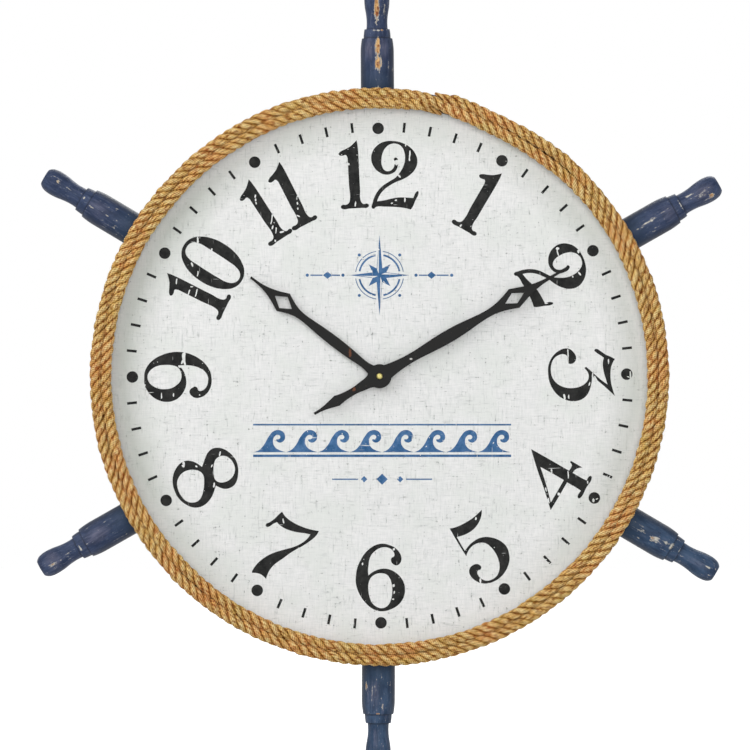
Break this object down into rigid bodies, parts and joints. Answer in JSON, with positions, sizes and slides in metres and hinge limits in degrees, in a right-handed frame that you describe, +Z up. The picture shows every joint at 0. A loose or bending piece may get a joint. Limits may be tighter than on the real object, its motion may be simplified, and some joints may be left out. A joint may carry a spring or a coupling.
{
  "type": "ship wheel wall clock",
  "caption": "round wall clock built as a ship's wheel: turned wooden handles round a roped rim, a linen-weave dial with large numerals and two blackened hands",
  "frame": {"origin": "on the wall plane behind the middle of the dial", "axes": "+Z up towards the twelve, -Y out of the wall towards the viewer, +X towards the three"},
  "size_m": [0.5364, 0.0404, 0.61],
  "materials": {
    "painted_ring_wood": "matte, worn paint",
    "fibreboard": "raw fibreboard",
    "printed_linen": "matte weave",
    "jute_rope": "fibrous",
    "worn_blue_wood": "matte, worn paint",
    "zinc_steel": "zinc plated",
    "black_moulding": "moulded",
    "black_rubber": "matte",
    "brass": "turned",
    "battery_jacket": "plain jacket",
    "nickel_strip": "nickel plated",
    "circuit_laminate": "laminate",
    "stator_iron": "rolled",
    "copper_winding": "enamelled wire",
    "rotor_magnet": "sintered",
    "white_moulding": "moulded",
    "blackened_metal": "satin black"
  },
  "bodies": {
    "case": {"rim_ring": "painted_ring_wood", "dial_board": "fibreboard", "dial_linen": "printed_linen", "rope_wrap": "jute_rope", "handle_1": "worn_blue_wood", "handle_2": "worn_blue_wood", "handle_3": "worn_blue_wood", "handle_4": "worn_blue_wood", "handle_5": "worn_blue_wood", "handle_6": "worn_blue_wood", "handle_screws": "zinc_steel", "hanger_plate": "zinc_steel", "hanger_screws": "zinc_steel", "movement_case": "black_moulding", "movement_cover": "black_moulding", "rubber_washer": "black_rubber", "brass_washer": "brass", "hex_nut": "brass", "battery": "battery_jacket", "contact_positive": "nickel_strip", "contact_negative": "nickel_strip", "circuit_board": "circuit_laminate", "quartz_crystal": "nickel_strip", "stator": "stator_iron", "drive_coil": "copper_winding"},
    "minute_train": {"minute_arbor": "brass", "minute_hand": "blackened_metal", "hand_nut": "brass"},
    "hour_train": {"hour_wheel": "white_moulding", "hour_hand": "blackened_metal"},
    "setting_train": {"minute_wheel": "white_moulding", "setting_knob": "white_moulding"},
    "rotor": {"rotor": "rotor_magnet"},
    "fifth_wheel": {"fifth_wheel": "white_moulding"},
    "second_wheel": {"second_wheel": "white_moulding"},
    "third_wheel": {"third_wheel": "white_moulding"},
    "centre_wheel": {"centre_wheel": "white_moulding"}
  },
  "joints": [
    {"name": "minute_hand_turn", "type": "hinge", "parent": "case", "child": "minute_train", "pos_m": [0, -0.02, 0], "axis": [0, 1, 0], "continuous": true},
    {"name": "hour_hand_turn", "type": "hinge", "parent": "case", "child": "hour_train", "pos_m": [0, -0.019, 0], "axis": [0, 1, 0], "continuous": true},
    {"name": "setting_turn", "type": "hinge", "parent": "case", "child": "setting_train", "pos_m": [-0.00689, -0.017, 0.00579], "axis": [0, 1, 0], "continuous": true},
    {"name": "second_wheel_turn", "type": "hinge", "parent": "case", "child": "second_wheel", "pos_m": [0.00972, -0.01, 0.01006], "axis": [0, 1, 0], "continuous": true},
    {"name": "rotor_turn", "type": "hinge", "parent": "case", "child": "rotor", "pos_m": [-0.0028, -0.011, 0.01461], "axis": [0, 1, 0], "continuous": true},
    {"name": "fifth_wheel_turn", "type": "hinge", "parent": "case", "child": "fifth_wheel", "pos_m": [0.0034, -0.008, 0.01236], "axis": [0, 1, 0], "continuous": true},
    {"name": "third_wheel_turn", "type": "hinge", "parent": "case", "child": "third_wheel", "pos_m": [0.00778, -0.012, 0.00283], "axis": [0, 1, 0], "continuous": true},
    {"name": "centre_wheel_turn", "type": "hinge", "parent": "case", "child": "centre_wheel", "pos_m": [0, -0.015, 0], "axis": [0, 1, 0], "continuous": true}
  ],
  "couplings": [
    {"joint": "hour_hand_turn", "follows": "minute_hand_turn", "ratio": 0.083333},
    {"joint": "setting_turn", "follows": "minute_hand_turn", "ratio": -0.33333},
    {"joint": "rotor_turn", "follows": "second_wheel_turn", "ratio": 30},
    {"joint": "fifth_wheel_turn", "follows": "second_wheel_turn", "ratio": -6},
    {"joint": "third_wheel_turn", "follows": "second_wheel_turn", "ratio": -0.13333},
    {"joint": "centre_wheel_turn", "follows": "second_wheel_turn", "ratio": 0.016667}
  ]
}
